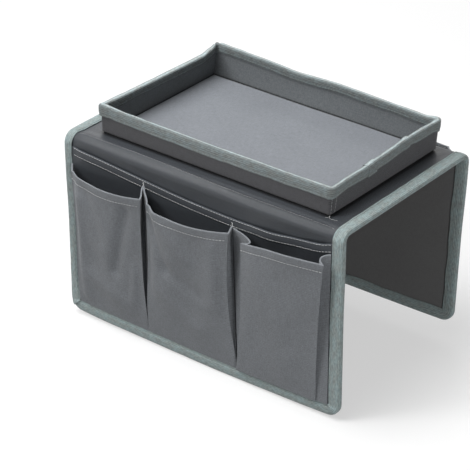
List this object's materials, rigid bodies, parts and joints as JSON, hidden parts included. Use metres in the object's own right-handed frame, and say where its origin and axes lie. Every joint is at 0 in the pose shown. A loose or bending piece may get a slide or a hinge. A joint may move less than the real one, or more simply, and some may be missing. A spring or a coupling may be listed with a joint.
{
  "type": "sofa armrest organizer",
  "caption": "Cloth organizer that hangs over an armrest: open tray on a stiff top panel, front flap with bellows pockets, back flap with a wide pocket.",
  "frame": {"origin": "middle of the top panel's underside, which lies on the armrest", "axes": "+X along the panel's width, the tray and its rim above at +Z, the front flap with the three bellows pockets at -Y"},
  "size_m": [0.32, 0.2368, 0.22],
  "materials": {
    "cloth": "dark blue-grey woven polyester cloth",
    "pocket_cloth": "grey woven polyester cloth with a fine even weave",
    "lining": "dark grey lining cloth",
    "tape": "mottled grey-green binding tape",
    "board": "plain stiffening board inside the cloth"
  },
  "bodies": {
    "top": {"top_lining": "lining", "top_board": "board", "top_cloth": "cloth", "top_binding_left": "tape", "top_binding_right": "tape", "tray_floor_board": "board", "tray_floor_cloth": "cloth", "tray_wall_outer_cloth": "cloth", "tray_wall_inner_cloth": "cloth", "tray_front_board": "board", "tray_back_board": "board", "tray_left_board": "board", "tray_right_board": "board", "tray_rim_binding": "tape", "front_fold_cloth": "cloth", "front_fold_lining": "lining", "front_fold_binding_left": "tape", "front_fold_binding_right": "tape", "back_fold_cloth": "cloth", "back_fold_lining": "lining", "back_fold_binding_left": "tape", "back_fold_binding_right": "tape"},
    "front_flap": {"front_flap_board": "board", "front_flap_cloth": "cloth", "front_flap_lining": "lining", "front_flap_binding": "tape", "flat_pocket": "pocket_cloth", "left_pocket_gusset_left": "pocket_cloth", "left_pocket_gusset_right": "pocket_cloth", "middle_pocket_gusset_left": "pocket_cloth", "middle_pocket_gusset_right": "pocket_cloth", "right_pocket_gusset_left": "pocket_cloth", "right_pocket_gusset_right": "pocket_cloth"},
    "left_pocket": {"left_pocket_panel": "pocket_cloth"},
    "middle_pocket": {"middle_pocket_panel": "pocket_cloth"},
    "right_pocket": {"right_pocket_panel": "pocket_cloth"},
    "back_flap": {"back_flap_board": "board", "back_flap_cloth": "cloth", "back_flap_lining": "lining", "back_flap_binding": "tape", "rear_pocket_gusset_left": "pocket_cloth", "rear_pocket_gusset_right": "pocket_cloth"},
    "rear_pocket": {"rear_pocket_panel": "pocket_cloth"}
  },
  "joints": [
    {"name": "front_flap_fold", "type": "hinge", "parent": "top", "child": "front_flap", "pos_m": [0, -0.09585, 0.00145], "axis": [-1, 0, 0], "range_deg": [-28, 90], "deforming": ["front_fold_cloth", "front_fold_lining", "front_fold_binding_left", "front_fold_binding_right"]},
    {"name": "left_pocket_open", "type": "hinge", "parent": "front_flap", "child": "left_pocket", "pos_m": [0, -0.09955, -0.1736], "axis": [1, 0, 0], "range_deg": [-3.5, 4], "stiffness_Nm_per_rad": 0.1, "deforming": ["left_pocket_gusset_left", "left_pocket_gusset_right"]},
    {"name": "middle_pocket_open", "type": "hinge", "parent": "front_flap", "child": "middle_pocket", "pos_m": [0, -0.09955, -0.1736], "axis": [1, 0, 0], "range_deg": [-4, 4], "stiffness_Nm_per_rad": 0.1, "deforming": ["middle_pocket_gusset_left", "middle_pocket_gusset_right"]},
    {"name": "right_pocket_open", "type": "hinge", "parent": "front_flap", "child": "right_pocket", "pos_m": [0, -0.10145, -0.1736], "axis": [1, 0, 0], "range_deg": [-2, 6], "stiffness_Nm_per_rad": 0.1, "deforming": ["right_pocket_gusset_left", "right_pocket_gusset_right"]},
    {"name": "back_flap_fold", "type": "hinge", "parent": "top", "child": "back_flap", "pos_m": [0, 0.09585, 0.00145], "axis": [1, 0, 0], "range_deg": [-24.5, 93.5], "deforming": ["back_fold_cloth", "back_fold_lining", "back_fold_binding_left", "back_fold_binding_right"]},
    {"name": "rear_pocket_open", "type": "hinge", "parent": "back_flap", "child": "rear_pocket", "pos_m": [0, 0.08869, -0.16147], "axis": [-1, 0, 0], "range_deg": [-4, 4], "stiffness_Nm_per_rad": 0.1, "deforming": ["rear_pocket_gusset_left", "rear_pocket_gusset_right"]}
  ]
}
